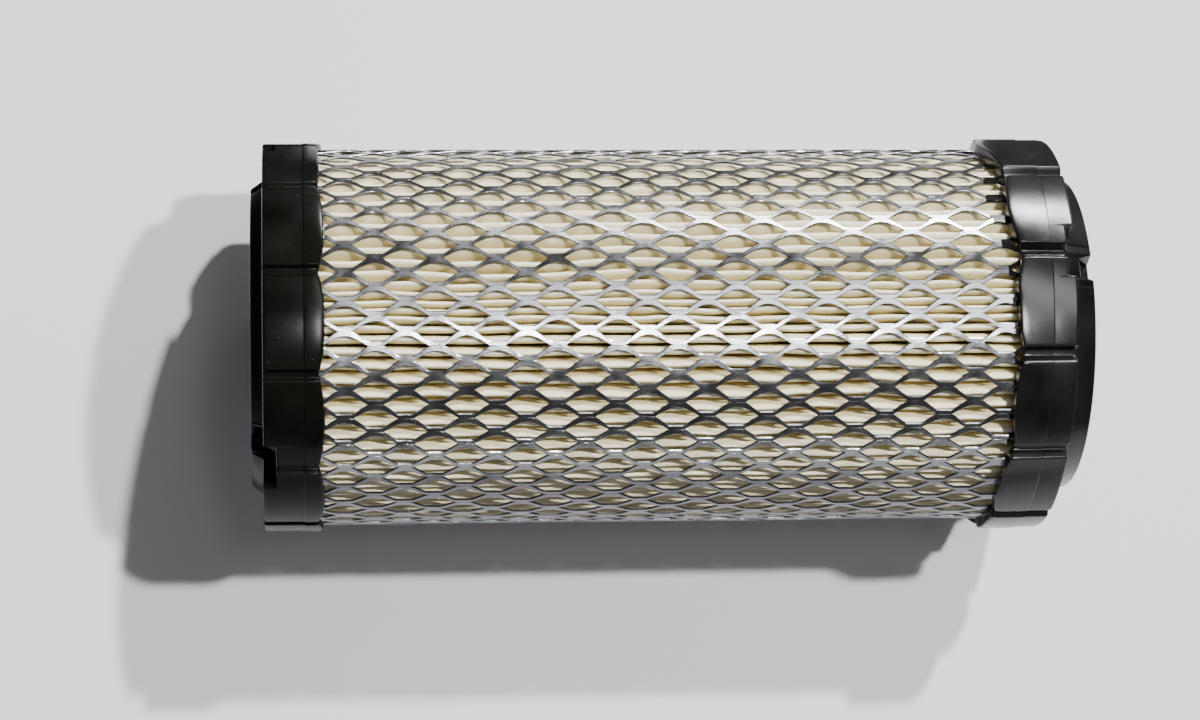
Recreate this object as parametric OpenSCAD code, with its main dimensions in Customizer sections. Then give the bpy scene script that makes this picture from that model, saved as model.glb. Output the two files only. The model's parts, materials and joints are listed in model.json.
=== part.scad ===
// Pleated air filter cartridge for a small engine, lying on its side.
// It is a ring of pleated paper between two wire-mesh screens, with a moulded end cap at each end.
// Millimetres. +X runs from the open end to the closed end, +Z is up, and the floor is z = 0.

/* [Overall] */
// Length between the outer rims of the two end caps
rim_length = 173; // [140:1:210]
// Outside diameter of the outer screen
screen_d = 83; // [74:0.5:100]

/* [Open end cap] */
// Rubber thickness of the band over the outer screen
open_band_wall = 1.35; // [1:0.05:2.2]
// Bore that seals round the engine's outlet tube
seal_bore_d = 51.6; // [42:0.1:62]
// Length of the plain wall of the seal bore
seal_length = 15; // [12:0.5:20]
// Rubber between the seal bore and the inner screen
seal_wall = 2.9; // [2:0.1:4]
// Lead-in chamfer at the mouth of the seal bore
seal_lead_in = 1.5; // [0.5:0.1:2]
// Height of the raised ring on the end face
open_ring_h = 2.6; // [1.8:0.1:6]
// Radial width of the raised ring from the seal bore to its face's outer edge
open_ring_wall = 7; // [6.2:0.1:7.6]
// Direction of the first standoff groove, from the top
open_groove_turn = 9.9; // [0:0.1:29]
// Distance from the rim to the moulding step on the band
open_step_at = 8.7; // [3:0.1:10]
// Depth of a radial slot below the rim
open_slot_depth = 2.7; // [1.5:0.1:3]

/* [Closed end cap] */
// Rubber thickness of the band over the outer screen
closed_band_wall = 2.2; // [1.4:0.05:3]
// Height of the raised ring on the end face
closed_ring_h = 5.8; // [4:0.1:8]
// Width of the end face outside the raised ring's face
closed_rim_w = 9.1; // [6:0.1:12]
// Radial width of the raised ring at its face
closed_ring_wall = 10; // [8:0.5:14]
// Direction of the first standoff groove, from the top
closed_groove_turn = 4.9; // [0:0.1:29]
// Distance from the rim to the moulding step on the band
closed_step_at = 5.4; // [3:0.1:10]
// Depth of a radial slot below the rim
closed_slot_depth = 1.8; // [1.5:0.1:3]

/* [Both end caps] */
// Length of the band that covers the end of the outer screen
band_length = 13.1; // [11:0.1:18]
// Rubber between the rim and the ends of the screens and paper
end_wall = 4.2; // [3.6:0.1:6]
// Standoff grooves round each band
groove_count = 12; // [6:3:18]
// Width of a standoff groove at its floor
groove_width = 1.4; // [1:0.1:4]
// Rubber left under a standoff groove
groove_skin = 0.3; // [0.2:0.05:0.6]
// How far the lip draws back at each groove
lip_draw_back = 1.3; // [0.4:0.1:2]
// Depth of the moulding step on the band
step_depth = 0.15; // [0.05:0.05:0.3]
// Rounding of the band's outer edge
rim_radius = 1; // [0.4:0.1:1.5]
// Radial slots in each end face
slot_count = 3; // [1:2:3]
// Angle that a slot spans at the rim
slot_span = 16; // [8:1:20]
// How far a slot cuts into the raised ring
slot_reach = 4.5; // [2:0.1:5]
// Flare of the raised ring from its face to its root
ring_flare = 1.7; // [0.5:0.1:2]

/* [Screens and paper] */
// Thickness over the raised strands of the outer screen
outer_screen_t = 0.9; // [0.6:0.05:1.2]
// Thickness over the raised strands of the inner screen
inner_screen_t = 0.8; // [0.6:0.05:1.2]
// Long pitch of the diamonds, along the length
diamond_length = 12.77; // [10:0.01:16]
// Diamonds round the outer screen
diamonds_round = 41; // [30:1:46]
// Diamonds that one opening of a sleeve spans, each way
diamonds_merged = 2; // [2:1:4]
// Width of a strand
strand_width = 1.6; // [1:0.1:2]
// Number of pleats
pleat_count = 90; // [60:1:108]
// Thickness of the filter paper
paper_t = 0.45; // [0.3:0.05:0.5]
// Half the width of a paper fold
fold_half = 0.6; // [0.55:0.05:0.65]
// Gap between the paper and each screen
paper_gap = 0.2; // [0.1:0.05:0.4]

/* [Hidden] */
$fn = 96;

// Radii
screen_r = screen_d / 2;
open_cap_r = screen_r + open_band_wall;
closed_cap_r = screen_r + closed_band_wall;
seal_bore_r = seal_bore_d / 2;
inner_screen_ir = seal_bore_r + seal_wall;
inner_screen_r = inner_screen_ir + inner_screen_t;
paper_in_r = inner_screen_r + paper_gap;
paper_out_r = screen_r - outer_screen_t - paper_gap;
open_ring_r = seal_bore_r + open_ring_wall;
closed_ring_r = closed_cap_r - closed_rim_w;

// Places along the axis, with the part centred on the origin
total_length = open_ring_h + rim_length + closed_ring_h;
open_rim_x = open_ring_h - total_length / 2;
closed_rim_x = open_rim_x + rim_length;
pack_length = rim_length - 2 * end_wall;
pack_x = open_rim_x + end_wall;
axis_z = max(open_cap_r, closed_cap_r);

// Band details
groove_pitch = 360 / groove_count;
slot_pitch = 360 / slot_count;
// Every slot is centred on a groove
open_slot_turn = open_groove_turn + groove_pitch;
closed_slot_turn = closed_groove_turn - groove_pitch;
groove_flare = 0.55;          // sideways growth of a groove for each millimetre of depth
lip_round = 0.4;
bulge_over = 0.03;            // how far a bulge's curve would rise past the flat middle of the lip
bulge_share = 0.85;           // share of a bulge that is curved
arc_steps = 5;
// Slot details
// Notch that a slot makes in a raised ring: its width at the floor, its sideways growth for each
// millimetre of height, and the height of its floor above the rim
open_notch = [5, 0.45, -0.3];
closed_notch = [4.3, 0.35, 3.1];
// Walls inside the caps that stand in the inner screen
plug_wall = 2.8;
plug_length = 6;
bore_end_chamfer = 0.8;
cut = 1;                      // overshoot of a cutting tool

// Stands a shape that is drawn along +Z on the axis at x, with its 0 degrees at the top
module on_axis(x, outward = false)
    translate([x, 0, axis_z]) rotate([0, 90, 0]) rotate([0, 0, 180])
        mirror([0, 0, outward ? 1 : 0]) children();

module ring(r_out, r_in, length) difference() {
    cylinder(r = r_out, h = length);
    translate([0, 0, -cut]) cylinder(r = r_in, h = length + 2 * cut);
}

// Outline of the band from the rim round to the bottom of the pocket, as [radius, depth]
function band_outline(cap_r, step_at) = concat(
    [for (k = [0:arc_steps]) let (a = 90 * k / arc_steps)
        [cap_r - step_depth - rim_radius * (1 - sin(a)), rim_radius * (1 - cos(a))]],
    [[cap_r - step_depth, step_at], [cap_r, step_at], [cap_r, band_length - lip_round],
     [cap_r - lip_round, band_length], [screen_r, band_length], [screen_r, end_wall],
     [inner_screen_ir, end_wall]]);

// Grooves left by the ribs that centre the screen in the mould
module standoff_grooves(cap_r, turn) {
    floor_r = screen_r + groove_skin;
    depth = cap_r - floor_r + cut;
    for (k = [0:groove_count - 1]) rotate([0, 0, turn + k * groove_pitch])
        translate([floor_r, 0, -cut]) linear_extrude(height = band_length + 2 * cut)
            polygon([[0, -groove_width / 2], [depth, -groove_width / 2 - depth * groove_flare],
                     [depth, groove_width / 2 + depth * groove_flare], [0, groove_width / 2]]);
}

// What is cut from the lip at each groove, so that the lip bulges between the grooves
module lip_scallops(cap_r, turn) {
    half = bulge_share * cap_r * sin(groove_pitch / 2);
    rise = lip_draw_back + bulge_over;
    curve = [for (k = [-arc_steps:arc_steps]) let (s = k / arc_steps)
        [half * s, band_length + bulge_over - rise * pow(1 - abs(s), 2)]];
    inside = screen_r * cos(groove_pitch / 2) - cut;
    for (k = [0:groove_count - 1]) rotate([0, 0, turn + k * groove_pitch])
        translate([inside, 0, 0]) rotate([90, 0, 90]) linear_extrude(height = cap_r - inside + cut)
            polygon(concat(curve, [[half, band_length + cut], [-half, band_length + cut]]));
}

// Radial slots across the rim and into the raised ring
module end_slots(cap_r, ring_r, ring_h, turn, depth, notch) {
    width = 2 * cap_r * sin(slot_span / 2);
    reach = slot_reach + ring_flare + cut;
    root_w = notch[0];
    floor_h = notch[2];
    top_w = root_w + 2 * notch[1] * (ring_h - floor_h + cut);
    for (k = [0:slot_count - 1]) rotate([0, 0, turn + k * slot_pitch]) {
        translate([ring_r, -width / 2, -cut]) cube([cap_r - ring_r + cut, width, depth + cut]);
        translate([ring_r - slot_reach, 0, 0]) rotate([90, 0, 90]) linear_extrude(height = reach)
            polygon([[-root_w / 2, -floor_h], [root_w / 2, -floor_h],
                     [top_w / 2, -ring_h - cut], [-top_w / 2, -ring_h - cut]]);
    }
}

// Cuts the slots, the grooves and the lip of a cap, one after the other
module moulded(cap_r, ring_r, ring_h, groove_turn, slot_turn, slot_depth, notch) difference() {
    difference() {
        difference() {
            children();
            end_slots(cap_r, ring_r, ring_h, slot_turn, slot_depth, notch);
        }
        standoff_grooves(cap_r, groove_turn);
    }
    lip_scallops(cap_r, groove_turn);
}

module open_end_cap() color([0.06, 0.06, 0.06]) on_axis(open_rim_x) {
    mouth = seal_lead_in - open_ring_h;
    moulded(open_cap_r, open_ring_r, open_ring_h, open_groove_turn, open_slot_turn, open_slot_depth,
            open_notch)
        rotate_extrude() polygon(concat(
            [[seal_bore_r, mouth + seal_length], [seal_bore_r, mouth],
             [seal_bore_r + seal_lead_in, -open_ring_h], [open_ring_r, -open_ring_h],
             [open_ring_r + ring_flare, 0]],
            band_outline(open_cap_r, open_step_at),
            [[inner_screen_ir, mouth + seal_length + bore_end_chamfer],
             [seal_bore_r + bore_end_chamfer, mouth + seal_length + bore_end_chamfer]]));
}

module closed_end_cap() color([0.06, 0.06, 0.06]) on_axis(closed_rim_x, outward = true) {
    well_r = closed_ring_r - closed_ring_wall;
    moulded(closed_cap_r, closed_ring_r, closed_ring_h, closed_groove_turn, closed_slot_turn,
            closed_slot_depth, closed_notch)
        rotate_extrude() polygon(concat(
            [[0, end_wall], [0, 0], [well_r - ring_flare, 0], [well_r, -closed_ring_h],
             [closed_ring_r, -closed_ring_h], [closed_ring_r + ring_flare, 0]],
            band_outline(closed_cap_r, closed_step_at),
            [[inner_screen_ir, end_wall + plug_length],
             [inner_screen_ir - plug_wall, end_wall + plug_length],
             [inner_screen_ir - plug_wall, end_wall]]));
}

// Sleeve of expanded metal. Each opening is a diamond that spans several of the sheet's own small
// ones, each way, with as much open area.
module expanded_sleeve(r_out, thickness, round_count) {
    pitch_x = diamond_length * diamonds_merged / 2;
    half_l = pitch_x - strand_width;
    half_w = r_out * sin(180 / round_count) - strand_width / 2;
    columns = floor(pack_length / 2 / pitch_x);
    difference() {
        ring(r_out, r_out - thickness, pack_length);
        for (i = [-columns:columns], k = [0:round_count - 1])
            rotate([0, 0, (k + (i % 2) / 2) * 360 / round_count])
                translate([r_out - thickness - cut, 0, pack_length / 2 + i * pitch_x])
                    rotate([90, 0, 90]) linear_extrude(height = thickness + 2 * cut)
                        polygon([[0, -half_l], [half_w, 0], [0, half_l], [-half_w, 0]]);
    }
}

module outer_screen() color([0.72, 0.73, 0.75]) on_axis(pack_x)
    expanded_sleeve(screen_r, outer_screen_t, floor(diamonds_round / diamonds_merged));

module inner_screen() color([0.66, 0.67, 0.69]) on_axis(pack_x)
    expanded_sleeve(inner_screen_r, inner_screen_t,
                    floor(diamonds_round * inner_screen_r / screen_r / diamonds_merged));

// Point at a radius and a sideways distance from a pleat's own centre line
function on_pleat(turn, r, side) =
    [r * cos(turn) - side * sin(turn), r * sin(turn) + side * cos(turn)];

pleat_pitch = 360 / pleat_count;
outer_tip = [paper_out_r, fold_half];
outer_valley = [paper_in_r + paper_t, fold_half - paper_t];
inner_tip = [paper_out_r - paper_t, fold_half - paper_t];
inner_valley = [paper_in_r, fold_half];

// One face of the paper: the tip and the valley of every pleat, each with two corners
function paper_face(tip, valley) = [for (k = [0:pleat_count - 1], c = [0:3])
    let (corner = c < 2 ? tip : valley, side = c % 2 == 0 ? -1 : 1)
        on_pleat((k + (c < 2 ? 0 : 0.5)) * pleat_pitch, corner[0], side * corner[1])];

module pleated_media() color([0.93, 0.88, 0.76]) on_axis(pack_x) {
    corners = 4 * pleat_count;
    linear_extrude(height = pack_length)
        polygon(concat(paper_face(outer_tip, outer_valley), paper_face(inner_tip, inner_valley)),
                [[for (k = [0:corners - 1]) k], [for (k = [0:corners - 1]) corners + k]]);
}

// Adhesive between the two flanks of one pleat, from its fold down to a share of the pleat's depth
seam_share = 0.7;
seam_pleat = round(pleat_count / 2);
module media_seam_bead() color([0.90, 0.84, 0.66]) on_axis(pack_x) {
    turn = seam_pleat * pleat_pitch;
    tip = [for (side = [-1, 1]) on_pleat(turn, inner_tip[0], side * inner_tip[1])];
    root = [for (side = [-1, 1])
        on_pleat(turn + side * pleat_pitch / 2, inner_valley[0], -side * inner_valley[1])];
    low = [for (n = [0, 1]) tip[n] + seam_share * (root[n] - tip[n])];
    linear_extrude(height = pack_length) polygon([tip[0], tip[1], low[1], low[0]]);
}

open_end_cap();
closed_end_cap();
outer_screen();
inner_screen();
pleated_media();
media_seam_bead();
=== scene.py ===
"""Looks of a pleated air filter cartridge: expanded-metal screens, folded paper and moulded rubber end caps.

Lengths are in millimetres until at() turns a point into metres. A place on the cartridge is given as x along
the axis, turn (degrees from the top towards -Y) and r from the axis.
"""

import json
import math

import bpy
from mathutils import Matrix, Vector, noise


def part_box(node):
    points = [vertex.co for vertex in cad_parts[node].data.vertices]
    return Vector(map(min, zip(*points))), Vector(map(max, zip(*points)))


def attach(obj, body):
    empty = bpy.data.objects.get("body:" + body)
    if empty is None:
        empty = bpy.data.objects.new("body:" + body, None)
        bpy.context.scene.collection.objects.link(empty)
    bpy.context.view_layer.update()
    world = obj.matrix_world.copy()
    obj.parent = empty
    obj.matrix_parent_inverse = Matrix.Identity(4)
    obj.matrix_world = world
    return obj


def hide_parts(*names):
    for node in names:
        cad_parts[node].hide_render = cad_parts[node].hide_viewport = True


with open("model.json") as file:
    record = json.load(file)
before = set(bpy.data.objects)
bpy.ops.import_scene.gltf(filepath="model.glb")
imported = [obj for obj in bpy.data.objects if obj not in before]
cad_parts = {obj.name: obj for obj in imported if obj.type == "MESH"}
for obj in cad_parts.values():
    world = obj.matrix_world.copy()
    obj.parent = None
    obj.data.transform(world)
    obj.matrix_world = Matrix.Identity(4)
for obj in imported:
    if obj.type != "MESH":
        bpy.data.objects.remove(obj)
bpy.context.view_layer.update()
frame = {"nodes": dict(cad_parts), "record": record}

MM = 0.001
END_WALL = 4.2        # rubber between a rim and the ends of the screens and paper


def box_mm(node):
    low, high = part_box(node)
    return low / MM, high / MM


open_low, open_high = box_mm("open_end_cap")
closed_low, closed_high = box_mm("closed_end_cap")
outer_low, outer_high = box_mm("outer_screen")
inner_low, inner_high = box_mm("inner_screen")
paper_low, paper_high = box_mm("pleated_media")
AXIS_Z = (outer_low.z + outer_high.z) / 2
SCREEN_R = (outer_high.y - outer_low.y) / 2
INNER_SCREEN_R = (inner_high.y - inner_low.y) / 2
PAPER_R = (paper_high.y - paper_low.y) / 2
PACK_X = (outer_low.x, outer_high.x)
BORE_R = next(m for m in frame["record"]["mounts"] if m["name"] == "seal_bore")["dims"]["r_mm"]


def at(x, turn, r):
    """A place on the cartridge in metres, in the shared frame."""
    a = math.radians(turn)
    return (x * MM, -r * math.sin(a) * MM, (AXIS_Z + r * math.cos(a)) * MM)


def smooth(t):
    t = min(max(t, 0.0), 1.0)
    return t * t * (3 - 2 * t)


def turn_gap(a, b):
    """Signed difference of two turns, from -180 to 180."""
    return (a - b + 180) % 360 - 180


def wander(x, y, seed):
    """Smooth noise from about -1 to 1."""
    return noise.noise(Vector((x, y, seed * 7.31))) * 1.6


# Meshes

def add_piece(name, points, faces, materials, nodes=(), sharp=40, face_materials=None):
    mesh = bpy.data.meshes.new(name)
    mesh.from_pydata(points, [], faces)
    for m in materials:
        mesh.materials.append(m)
    if face_materials:
        mesh.polygons.foreach_set("material_index", face_materials)
    mesh.shade_smooth()
    mesh.set_sharp_from_angle(angle=math.radians(sharp))
    mesh.update()
    obj = bpy.data.objects.new(name, mesh)
    bpy.context.scene.collection.objects.link(obj)
    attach(obj, "root")
    if nodes:
        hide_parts(*nodes)
    return obj


def lofted(rows, closed_rows=True):
    """Points and quads that join a list of equally long loops of points."""
    n = len(rows[0])
    points = [p for row in rows for p in row]
    faces = []
    for i in range(len(rows) if closed_rows else len(rows) - 1):
        a, b = i * n, (i + 1) % len(rows) * n
        for j in range(n):
            k = (j + 1) % n
            faces.append((a + j, b + j, b + k, a + k))
    return points, faces


# Materials

def new_material(name, colour, roughness, metallic=0.0):
    m = bpy.data.materials.new(name)
    m.use_nodes = True
    shader = m.node_tree.nodes["Principled BSDF"]
    shader.inputs["Base Color"].default_value = (*colour, 1)
    shader.inputs["Roughness"].default_value = roughness
    shader.inputs["Metallic"].default_value = metallic
    return m, m.node_tree, shader


def add_node(tree, kind, **values):
    node = tree.nodes.new(kind)
    for key, value in values.items():
        if key in node.inputs:
            node.inputs[key].default_value = value
        else:
            setattr(node, key, value)
    return node


def noise_node(tree, scale, detail=4.0, stretch=(1, 1, 1)):
    where = add_node(tree, "ShaderNodeTexCoord")
    mapping = add_node(tree, "ShaderNodeMapping", Scale=stretch)
    texture = add_node(tree, "ShaderNodeTexNoise", Scale=scale, Detail=detail)
    tree.links.new(where.outputs["Object"], mapping.inputs["Vector"])
    tree.links.new(mapping.outputs["Vector"], texture.inputs["Vector"])
    return texture.outputs["Fac"]


def ramp_node(tree, value, stops):
    ramp = add_node(tree, "ShaderNodeValToRGB")
    elements = ramp.color_ramp.elements
    while len(elements) < len(stops):
        elements.new(0.5)
    for element, (position, colour) in zip(elements, stops):
        element.position = position
        element.color = (*colour, 1)
    tree.links.new(value, ramp.inputs["Fac"])
    return ramp.outputs["Color"]


def range_node(tree, value, low, high, source=(0.3, 0.7)):
    node = add_node(tree, "ShaderNodeMapRange")
    node.inputs["From Min"].default_value, node.inputs["From Max"].default_value = source
    node.inputs["To Min"].default_value, node.inputs["To Max"].default_value = low, high
    tree.links.new(value, node.inputs["Value"])
    return node.outputs["Result"]


def add_bump(tree, shader, height, distance, strength=1.0):
    bump = add_node(tree, "ShaderNodeBump", Strength=strength, Distance=distance)
    tree.links.new(height, bump.inputs["Height"])
    tree.links.new(bump.outputs["Normal"], shader.inputs["Normal"])


def rubber_material(name, colour, bloom_colour, gloss, roughness, grain):
    """Moulded rubber: soft gloss, a fine grain, faint cloudy bloom and a few tiny pale specks."""
    m, tree, shader = new_material(name, colour, roughness)
    shader.inputs["Specular IOR Level"].default_value = gloss
    bloom = noise_node(tree, 70, 5)
    cloudy = ramp_node(tree, bloom, [(0.38, colour), (0.72, bloom_colour)])
    specks = range_node(tree, noise_node(tree, 2300, 1), 0, 0.7, (0.80, 0.83))
    mix = add_node(tree, "ShaderNodeMix", data_type="RGBA")
    tree.links.new(specks, mix.inputs["Factor"])
    tree.links.new(cloudy, mix.inputs[6])
    mix.inputs[7].default_value = (0.2, 0.2, 0.19, 1)
    tree.links.new(mix.outputs[2], shader.inputs["Base Color"])
    tree.links.new(range_node(tree, bloom, roughness - 0.05, roughness + 0.08), shader.inputs["Roughness"])
    add_bump(tree, shader, noise_node(tree, 3600, 3), grain, 0.5)
    return m


def metal_material(name, colour, roughness):
    """Zinc-coated sheet: fine scratches, cloudy tone and a grainy sheen."""
    m, tree, shader = new_material(name, colour, roughness, metallic=1.0)
    cloud = noise_node(tree, 260, 4)
    dark = tuple(c * 0.78 for c in colour)
    tree.links.new(ramp_node(tree, cloud, [(0.3, dark), (0.6, colour)]), shader.inputs["Base Color"])
    tree.links.new(range_node(tree, cloud, roughness - 0.05, roughness + 0.1), shader.inputs["Roughness"])
    add_bump(tree, shader, noise_node(tree, 2600, 3, (0.35, 1, 1)), 0.00004, 0.5)
    return m


SHADED_FOLD_DEPTH = 9       # how far below the crests of the pleats the painted shade of the folds still deepens


def paper_material(name, colour, deep=(0.88, 0.60, 0.20)):
    """Resin-treated paper with a fibrous face: cream at the crests of the pleats, and painted shade that
    darkens it to ochre deep in the folds.
    """
    m, tree, shader = new_material(name, colour, 0.75)
    where = add_node(tree, "ShaderNodeTexCoord")
    split = add_node(tree, "ShaderNodeSeparateXYZ")
    tree.links.new(where.outputs["Object"], split.inputs["Vector"])
    rise = add_node(tree, "ShaderNodeMath", operation="SUBTRACT")
    tree.links.new(split.outputs["Z"], rise.inputs[0])
    rise.inputs[1].default_value = AXIS_Z * MM
    flat = add_node(tree, "ShaderNodeCombineXYZ")
    tree.links.new(split.outputs["Y"], flat.inputs["X"])
    tree.links.new(rise.outputs["Value"], flat.inputs["Y"])
    radius = add_node(tree, "ShaderNodeVectorMath", operation="LENGTH")
    tree.links.new(flat.outputs["Vector"], radius.inputs["Vector"])
    # Painted shade: the paper's colour goes from cream at the crests to ochre deep in the folds, by depth
    # below the crests.
    height = range_node(tree, radius.outputs["Value"], 0, 1, ((PAPER_R - SHADED_FOLD_DEPTH) * MM, PAPER_R * MM))
    tone = ramp_node(tree, height, [(0.0, deep), (0.35, (0.85, 0.69, 0.33)), (0.7, (0.82, 0.72, 0.43)),
                                    (0.95, colour)])
    fibre = noise_node(tree, 700, 5, (0.4, 1, 1))
    mottle = ramp_node(tree, fibre, [(0.3, (0.89, 0.88, 0.84)), (0.7, (1.0, 1.0, 1.0))])
    mix = add_node(tree, "ShaderNodeMix", data_type="RGBA", blend_type="MULTIPLY")
    mix.inputs["Factor"].default_value = 1
    tree.links.new(tone, mix.inputs[6])
    tree.links.new(mottle, mix.inputs[7])
    tree.links.new(mix.outputs[2], shader.inputs["Base Color"])
    add_bump(tree, shader, fibre, 0.00006, 0.6)
    return m


BLACK_RUBBER = rubber_material("black_rubber", (0.0016, 0.0021, 0.0013), (0.004, 0.005, 0.0035),
                               gloss=0.07, roughness=0.20, grain=0.00001)
DUSTY_RUBBER = rubber_material("dusty_rubber", (0.002, 0.002, 0.002), (0.008, 0.0075, 0.0085),
                               gloss=0.26, roughness=0.21, grain=0.00003)
OUTER_METAL = metal_material("outer_screen_metal", (0.175, 0.178, 0.186), 0.21)
INNER_METAL = metal_material("inner_screen_metal", (0.16, 0.163, 0.17), 0.30)
FILTER_PAPER = paper_material("filter_paper", (0.80, 0.74, 0.51))
# Lighter paper for the faces at the crests: a painted highlight along each crest line, together with paper
# fibre worn lighter there.
CREST_HIGHLIGHT_AND_WEAR_PAPER = paper_material("filter_paper_crests", (0.90, 0.86, 0.72), (0.72, 0.62, 0.36))


# Expanded-metal screens. Each ribbon of metal zigzags between two rows of bonds.
# It is joined to the ribbon before it at its crests and to the ribbon after it at its troughs.

SLIT = 0.05           # width of the slit between a bond and the sharp corner of an opening
EDGE = 0.015          # least width of the worn near edge and of the bevelled far edge of a strand


def screen_outline(u, half_pitch, row, strand):
    """Near and far edge of a ribbon at u from a crest, and its share of the drop to the next row.

    Both edges are measured round the sleeve from the bond row of the crest.
    """
    bond = 0.165 * half_pitch         # half the length that is still joined
    corner = 0.275 * half_pitch       # where an opening's sharp corner is
    flat = 0.715 * half_pitch         # start of the flat foot of an opening
    if u < bond:
        near = 0.0
    elif u < corner:
        near = SLIT * (u - bond) / (corner - bond)
    else:
        near = SLIT + (row - strand - SLIT) * min(1, (u - corner) / (flat - corner))
    v = half_pitch - u
    if v < bond:
        far = row
    elif v < corner:
        far = row - SLIT * (v - bond) / (corner - bond)
    else:
        reach = half_pitch - corner
        bend, slope = 0.30 * half_pitch, 0.7
        arch = math.hypot(bend, slope * u) - bend
        far = strand + (row - SLIT - strand) * arch / (math.hypot(bend, slope * reach) - bend)
    return near, far, smooth((u - bond) / (half_pitch - 2 * bond))


def screen(name, node, r_out, rows, first_turn, first_x, half_pitch, strand, gauge, lean, x_range,
           materials, coated_from=None):
    """A sleeve of ribbons, one for each row of bonds, with strands that lean by an angle."""
    row = 2 * math.pi * r_out / rows
    rise = math.tan(math.radians(lean))
    steps = [s * half_pitch for s in (0, 0.155, 0.225, 0.29, 0.45, 0.62, 0.73, 0.845)]
    offsets = steps + [half_pitch] + [2 * half_pitch - s for s in reversed(steps[1:])]
    points, faces, face_materials = [], [], []
    low, high = x_range
    hidden = END_WALL + 2             # potted in the caps, where nothing shows
    corners = 6                       # of a strand's cross-section
    for k in range(rows):
        crest = first_x + (k % 2) * half_pitch
        crest += math.floor((low - crest) / (2 * half_pitch)) * 2 * half_pitch
        stations = []
        while crest < high:
            stations += [crest + o for o in offsets if low + hidden < crest + o < high - hidden]
            crest += 2 * half_pitch
        stations = [low] + stations + [high]
        start = len(points)
        for x in stations:
            u = abs((x - crest + half_pitch) % (2 * half_pitch) - half_pitch)
            near, far, drop = screen_outline(u, half_pitch, row, strand)
            worn = 0.20 * min(near, SLIT) / SLIT + EDGE
            bevel = 0.08 * min(row - far, SLIT) / SLIT + EDGE
            top = r_out - rise * strand
            at_near, at_worn, at_bevel, at_far = [top + rise * (y - row * drop)
                                                  for y in (near, near + worn, far - bevel, far)]
            section = [(near, at_near - gauge), (near, at_near - 0.8 * worn), (near + worn, at_worn),
                       (far - bevel, at_bevel), (far, at_far - bevel), (far, at_far - gauge)]
            for y, r in section:
                turn = first_turn + k * 360 / rows + math.degrees(y / r_out)
                sway = 0.09 * wander(x / 11, turn / 9, 1)
                dent = 0.07 * (wander(x / 16, turn / 14, 2) - 1)
                points.append(at(x, turn + sway, min(r + dent, r_out)))
        middle_turn = first_turn + (k + 0.5) * 360 / rows
        for i in range(len(stations) - 1):
            a = start + i * corners
            b = a + corners
            faces += [(a + j, a + (j + 1) % corners, b + (j + 1) % corners, b + j) for j in range(corners)]
            middle_x = (stations[i] + stations[i + 1]) / 2
            coated = coated_from is not None and middle_x > coated_from(middle_turn)
            face_materials += [int(coated)] * corners
        faces.append(tuple(start + j for j in reversed(range(corners))))
        faces.append(tuple(len(points) - corners + j for j in range(corners)))
        face_materials += [0, int(coated_from is not None)]
    add_piece(name, points, faces, materials, [node], sharp=28,
              face_materials=face_materials)


def coat_start(turn):
    """Where moulded rubber starts to cover the strands, near the closed end cap."""
    back = 3.6 * math.exp(-(turn_gap(turn, -46) / 20) ** 2)
    front = 1.2 * math.exp(-(turn_gap(turn, 70) / 25) ** 2)
    return 71.3 - back - front


HALF_PITCH = 6.384    # between a crest and the next trough of a ribbon
screen("outer_screen_mesh", "outer_screen", SCREEN_R, rows=82, first_turn=-2.577, first_x=-19.77,
       half_pitch=HALF_PITCH, strand=1.05, gauge=0.42, lean=2, x_range=PACK_X,
       materials=[OUTER_METAL, BLACK_RUBBER], coated_from=coat_start)
screen("inner_screen_mesh", "inner_screen", INNER_SCREEN_R, rows=58, first_turn=0, first_x=0,
       half_pitch=HALF_PITCH, strand=1.0, gauge=0.4, lean=2, x_range=PACK_X, materials=[INNER_METAL])


# Pleated paper

PLEATS = 90
PAPER_T = 0.4
STATIONS = 120        # along the length of the paper
SEAM_TURN = 180       # the adhesive bead, where the pleats stay straight
CROWD_TURN = -10      # where the pleats are crowded together, how much and over what turn
CROWDING = 0.36
CROWD_WIDTH = 18


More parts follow.
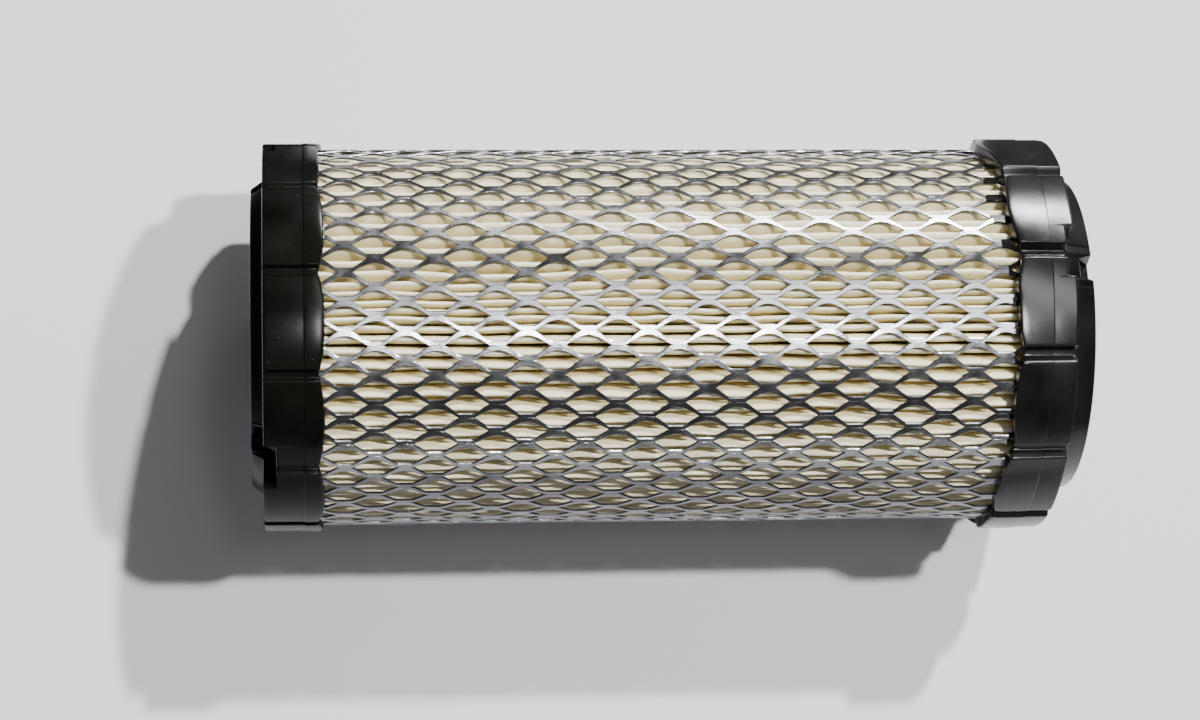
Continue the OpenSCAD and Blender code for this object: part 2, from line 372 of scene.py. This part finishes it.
def pleated_paper():
    pitch = 360 / PLEATS
    tip_r, valley_r = PAPER_R - 0.25, INNER_SCREEN_R + 0.45
    # Half of a pleat, from valley to crest: share of the height, then the sideways place
    half = [(0.0, 0.80), (0.5, 0.76), (0.80, 0.66), (0.91, 0.54), (0.96, 0.40), (0.987, 0.21), (0.997, 0.08)]
    profile = [(share, -width) for share, width in half] + [(1.0, 0.0)] + list(reversed(half))
    crest = len(half)
    rows, face_materials = [], []
    for i in range(STATIONS + 1):
        x = PACK_X[0] + (PACK_X[1] - PACK_X[0]) * i / STATIONS
        row = []
        for k in range(PLEATS):
            turn = k * pitch
            free = 1 - math.exp(-(turn_gap(turn, SEAM_TURN) / 5) ** 2)
            away = turn_gap(turn, CROWD_TURN) / CROWD_WIDTH
            crowd = CROWDING * math.exp(-away * away / 2)
            narrow = 1 - crowd * (1 - away * away)
            turn -= crowd * away * CROWD_WIDTH
            j = (k + PLEATS // 2) % PLEATS       # counted from the seam, where the noise has its jump
            side = (0.55 * wander(x / 19, j * 0.27, 3) + 0.20 * wander(x / 8, j * 1.9, 4)
                    + 0.09 * wander(x / 3, j * 2.3, 8))
            drop = 0.22 * (1 + wander(x / 12, j * 1.37, 5))
            for share, width in profile:
                r = valley_r + share * (tip_r - valley_r) - drop * share * share * free
                lateral = width * narrow + side * share ** 2.2 * free
                row.append(at(x, turn + math.degrees(lateral / r), r))
                if i < STATIONS:
                    # The two faces at each crest take the lighter crest paper: painted highlight together
                    # with worn fibre.
                    face_materials.append(int(len(row) % len(profile) in (crest, crest + 1)))
        rows.append(row)
    points, faces = lofted(rows, closed_rows=False)
    paper = add_piece("filter_paper_pleats", points, faces, [FILTER_PAPER, CREST_HIGHLIGHT_AND_WEAR_PAPER],
                      ["pleated_media"], sharp=70, face_materials=face_materials)
    thick = paper.modifiers.new("paper_thickness", "SOLIDIFY")
    thick.thickness = PAPER_T * MM
    thick.offset = 0


pleated_paper()


# End caps. Each is a loft round the axis of an outline whose corners depend on the turn.

def rounded(corners):
    """Rounds each corner (r, depth, radius) of a closed outline with a short curve of four points."""
    out = []
    n = len(corners)
    for i in range(n):
        p = Vector(corners[i][:2])
        radius = corners[i][2]
        back, ahead = Vector(corners[i - 1][:2]) - p, Vector(corners[(i + 1) % n][:2]) - p
        a = p + back.normalized() * min(radius, 0.45 * back.length)
        b = p + ahead.normalized() * min(radius, 0.45 * ahead.length)
        for t in (0, 1 / 3, 2 / 3, 1):
            out.append((1 - t) ** 2 * a + 2 * t * (1 - t) * p + t * t * b)
    return out


GROOVES = 12
GROOVE_PITCH = 360 / GROOVES
GROOVE_FLOOR = 1.4    # width at the floor
GROOVE_FLARE = 0.55   # width of a groove's side as a share of its depth
GROOVE_SKIN = 0.3     # rubber left under a groove
SCALLOP = 1.3         # how far the lip is drawn back at a groove
BAND = 13.1
SLOTS = 3
SLOT_SPAN = 16        # degrees
SLOT_REACH = 4.5      # how far a slot cuts into the raised ring
RING_FLARE = 1.7


class Cap:
    """The places on a cap that change with the turn. Depth runs from the rim into the pack."""

    def __init__(self, cap_r, ring_r, ring_h, groove_turn, slot_turn, slot_depth, step_at, notch):
        self.cap_r, self.ring_r, self.ring_h = cap_r, ring_r, ring_h
        self.groove_turn, self.slot_turn, self.slot_depth = groove_turn, slot_turn, slot_depth
        self.step_at = step_at
        self.notch_w, self.notch_flare, self.notch_floor = notch
        self.groove_depth = cap_r - SCREEN_R - GROOVE_SKIN

    def from_groove(self, turn):
        return (turn - self.groove_turn + GROOVE_PITCH / 2) % GROOVE_PITCH - GROOVE_PITCH / 2

    def from_slot(self, turn):
        return min(abs(turn_gap(turn, self.slot_turn + k * 360 / SLOTS)) for k in range(SLOTS))

    def groove(self, turn):
        """Depth of the standoff groove, with eased edges."""
        side = abs(math.radians(self.from_groove(turn))) * self.cap_r
        wall = GROOVE_FLARE * self.groove_depth
        t = (side - GROOVE_FLOOR / 2) / wall
        ease = 0.18
        t = min(max(t, -ease), 1 + ease)
        if t < ease:
            t = (t + ease) ** 2 / (4 * ease)
        elif t > 1 - ease:
            t = 1 - (1 + ease - t) ** 2 / (4 * ease)
        return self.groove_depth * (1 - t)

    def slot(self, turn):
        """1 inside a radial slot and 0 outside, with a short ramp."""
        return 1 - smooth((self.from_slot(turn) - SLOT_SPAN / 2 + 0.25) / 0.5)

    def notch(self, turn):
        """Height of the raised ring above the rim, which a slot lowers to the notch's floor."""
        side = math.radians(self.from_slot(turn)) * self.ring_r
        height = self.notch_floor + (side - self.notch_w / 2) / self.notch_flare
        return min(max(height, self.notch_floor), self.ring_h)

    def scallop(self, turn):
        """How far the lip is drawn back."""
        return SCALLOP * max(0, 1 - abs(self.from_groove(turn)) / (0.85 * GROOVE_PITCH / 2)) ** 2

    def turns(self):
        """Every degree, and closer together at the sides of the grooves, slots and notches."""
        found = [t * 1.0 for t in range(360)]
        wall = GROOVE_FLARE * self.groove_depth
        for k in range(GROOVES):
            groove = self.groove_turn + k * 360 / GROOVES
            for s in (-0.4, -0.18, -0.05, 0.1, 0.3, 0.5, 0.7, 0.9, 1.05, 1.18, 1.5):
                side = math.degrees((GROOVE_FLOOR / 2 + s * wall) / self.cap_r)
                found += [groove + side, groove - side]
        for k in range(SLOTS):
            edges = [SLOT_SPAN / 2 + o for o in (-0.6, -0.25, -0.12, 0, 0.12, 0.25, 0.6)]
            notch_h = self.ring_h - self.notch_floor
            edges += [math.degrees((self.notch_w / 2 + self.notch_flare * notch_h * t) / self.ring_r)
                      for t in (-0.15, 0, 0.15, 0.5, 0.85, 1, 1.15)]
            found += [self.slot_turn + k * 360 / SLOTS + sign * e for e in edges for sign in (-1, 1)]
        found = sorted(t % 360 for t in found)
        return [t for i, t in enumerate(found) if i == 0 or t - found[i - 1] > 0.04]


# A notch is its width at the floor, its sideways growth for each millimetre up and its floor above the rim
OPEN = Cap(cap_r=(open_high.y - open_low.y) / 2, ring_r=32.8, ring_h=2.6, groove_turn=9.9,
           slot_turn=39.9, slot_depth=2.7, step_at=8.7, notch=(5, 0.45, -0.3))
CLOSED = Cap(cap_r=(closed_high.y - closed_low.y) / 2, ring_r=34.6, ring_h=5.8, groove_turn=4.9,
             slot_turn=-25.1, slot_depth=1.8, step_at=5.4, notch=(4.3, 0.35, 3.1))
OPEN_RIM_X = open_low.x + OPEN.ring_h
CLOSED_RIM_X = closed_high.x - CLOSED.ring_h
POCKET_R = INNER_SCREEN_R - 0.8


def band_corners(cap, turn, lip):
    """From the outside of the raised ring over the rim and the band, round the lip and into the pocket."""
    slot = cap.slot_depth * cap.slot(turn)
    groove = cap.groove(turn)
    r = cap.cap_r - groove
    notch = -cap.notch(turn)
    return [
        (cap.ring_r - SLOT_REACH, -cap.ring_h, 0.25),
        (cap.ring_r - SLOT_REACH + 0.25, notch, 0.15),
        (cap.ring_r - 0.1, notch, 0.35),
        (cap.ring_r + RING_FLARE, max(slot, 0), 0.3),
        (r - 1.1, slot + 0.02, 0.3),
        (r - 0.15, slot + 0.05, 0.75),
        (r - 0.15, max(cap.step_at - 0.35, slot + 1), 0.5),
        (r - 0.15, cap.step_at, 0.06),
        (r, cap.step_at + 0.12, 0.08),
        (r, lip - 1.6, 0.5),
        (r - 0.10, lip - 0.25, 0.35),
        (SCREEN_R - 0.3, lip, 0.2),
        (SCREEN_R - 0.9, lip - 1.2, 0.3),
        (SCREEN_R - 0.9, END_WALL, 0.1),
        (POCKET_R, END_WALL, 0.1),
    ]


def cap_piece(name, node, cap, outline, place, material):
    points, faces = lofted([[place(p, turn) for p in rounded(outline(turn))] for turn in cap.turns()])
    add_piece(name, points, faces, [material], [node], sharp=32)


LEAD_IN = 1.5
SEAL_LENGTH = 15


def open_outline(turn):
    mouth = LEAD_IN - OPEN.ring_h
    drawn = 0.9 * math.exp(-(turn_gap(turn, -66) / 11) ** 2)
    lip = BAND - OPEN.scallop(turn) - drawn + 0.12 * wander(turn / 13, 0, 6)
    return [
        (BORE_R + 0.8, mouth + SEAL_LENGTH + 0.8, 0.1),
        (BORE_R, mouth + SEAL_LENGTH, 0.3),
        (BORE_R, mouth, 0.4),
        (BORE_R + LEAD_IN, -OPEN.ring_h, 0.3),
    ] + band_corners(OPEN, turn, lip) + [(POCKET_R, mouth + SEAL_LENGTH + 0.8, 0.1)]


def closed_lip(turn):
    """The lip of the closed end cap is uneven: rubber has crept further along the screen at the back."""
    crept = (0.9 * math.exp(-(turn_gap(turn, -43) / 13) ** 2)
             + 3.6 * math.exp(-(turn_gap(turn, -80) / 17) ** 2)
             + 0.8 * math.exp(-(turn_gap(turn, 58) / 20) ** 2))
    return BAND + crept - CLOSED.scallop(turn) + 0.3 * wander(turn / 9, 0, 7)


WELL_R = CLOSED.ring_r - 10          # of the flat inside the raised ring
PLUG_WALL, PLUG_LENGTH = 2.8, 6      # the short collar inside the inner screen
NEAR_AXIS = 0.02


def closed_outline(turn):
    return [
        (NEAR_AXIS, 0, 0),
        (WELL_R - RING_FLARE, 0, 0.5),
        (WELL_R, -CLOSED.ring_h, 0.5),
    ] + band_corners(CLOSED, turn, closed_lip(turn)) + [
        (POCKET_R, END_WALL + PLUG_LENGTH, 0.3),
        (POCKET_R - PLUG_WALL, END_WALL + PLUG_LENGTH, 0.5),
        (POCKET_R - PLUG_WALL, END_WALL, 0.5),
        (NEAR_AXIS, END_WALL, 0),
    ]


def on_open(p, turn):
    r, depth = p
    return at(OPEN_RIM_X + depth, turn, r)


def on_closed(p, turn):
    """The closed end cap's band was moulded slightly askew."""
    r, depth = p
    skew = 0.8 * math.sin(math.radians(turn)) * smooth((r - 37) / 5)
    return at(CLOSED_RIM_X - depth - skew, turn, r)


cap_piece("open_end_cap_rubber", "open_end_cap", OPEN, open_outline, on_open, BLACK_RUBBER)
cap_piece("closed_end_cap_rubber", "closed_end_cap", CLOSED, closed_outline, on_closed, DUSTY_RUBBER)


# Adhesive bead: the solid's shape stays

def bead_material():
    m, tree, shader = new_material("seam_adhesive", (0.78, 0.62, 0.34), 0.35)
    blotches = ramp_node(tree, noise_node(tree, 420, 3),
                         [(0.35, (0.62, 0.44, 0.2)), (0.7, (0.84, 0.72, 0.48))])
    tree.links.new(blotches, shader.inputs["Base Color"])
    add_bump(tree, shader, noise_node(tree, 900, 2), 0.00015, 0.7)
    return m


bead = frame["nodes"]["media_seam_bead"]
bead.data.materials.clear()
bead.data.materials.append(bead_material())


# Stage

def stage_sheet(name, low, high, z, material):
    mesh = bpy.data.meshes.new(name)
    corners = [(low[0], low[1], z), (high[0], low[1], z), (high[0], high[1], z), (low[0], high[1], z)]
    mesh.from_pydata(corners, [], [(0, 1, 2, 3)])
    mesh.materials.append(material)
    obj = bpy.data.objects.new(name, mesh)
    bpy.context.scene.collection.objects.link(obj)
    return obj


def floor_material():
    m, tree, shader = new_material("floor_paper", (0.66, 0.64, 0.69), 0.8)
    shade = ramp_node(tree, noise_node(tree, 3, 2), [(0.3, (0.64, 0.62, 0.67)), (0.7, (0.68, 0.66, 0.71))])
    tree.links.new(shade, shader.inputs["Base Color"])
    return m


def area_light(name, place, size, power, seen_by):
    """A lamp that faces the cartridge: "matt" lamps light surfaces, and "gloss" lamps show in reflections."""
    data = bpy.data.lights.new(name, "AREA")
    data.shape = "RECTANGLE"
    data.size, data.size_y = size
    data.energy = power
    obj = bpy.data.objects.new(name, data)
    bpy.context.scene.collection.objects.link(obj)
    obj.location = place
    obj.rotation_euler = (Vector((0, 0, AXIS_Z * MM)) - Vector(place)).to_track_quat("-Z", "Y").to_euler()
    obj.visible_diffuse = seen_by == "matt"
    obj.visible_glossy = seen_by == "gloss"


stage_sheet("floor", (-3, -3), (3, 3), 0, floor_material())
# Black cards behind the cartridge, seen only in its gloss, keep the floor out of the reflections
BLACK_CARD = new_material("black_card", (0.01, 0.01, 0.01), 0.9)[0]
for name, low, high in (("far_card", (-1.2, 0.105), (1.2, 1.4)),
                        ("left_card", (-0.25, 0.048), (-0.078, 0.105)),
                        ("right_card", (0.082, 0.048), (0.25, 0.105))):
    card = stage_sheet(name, low, high, 0.002, BLACK_CARD)
    card.visible_camera = card.visible_diffuse = card.visible_shadow = False
area_light("right_lamp", (0.62, 0.42, 1.54), (0.06, 0.06), 40, "matt")
area_light("back_lamp", (0.50, 1.10, 1.54), (0.06, 0.06), 60, "matt")
area_light("overhead_strip", (0.13, 0.17, 1.45), (0.18, 0.18), 24, "gloss")
area_light("back_panel", (0.45, 0.60, 1.35), (0.9, 0.4), 14, "gloss")
area_light("low_window", (0.50, 1.25, 0.36), (0.62, 0.21), 66, "gloss")
area_light("front_wall", (0.10, -1.30, 0.36), (1.8, 0.5), 6, "gloss")

world = bpy.data.worlds.new("studio")
bpy.context.scene.world = world
world.use_nodes = True
background = world.node_tree.nodes["Background"]
background.inputs["Color"].default_value = (0.80, 0.80, 0.82, 1)
background.inputs["Strength"].default_value = 0.2

camera_data = bpy.data.cameras.new("camera")
camera_data.sensor_width = 36
camera_data.lens = 100.284
camera = bpy.data.objects.new("camera", camera_data)
bpy.context.scene.collection.objects.link(camera)
camera.location = (-0.08259, 0.00979, 0.78531)
camera.rotation_euler = (-0.01992, -0.09298, -0.00457)
bpy.context.scene.camera = camera
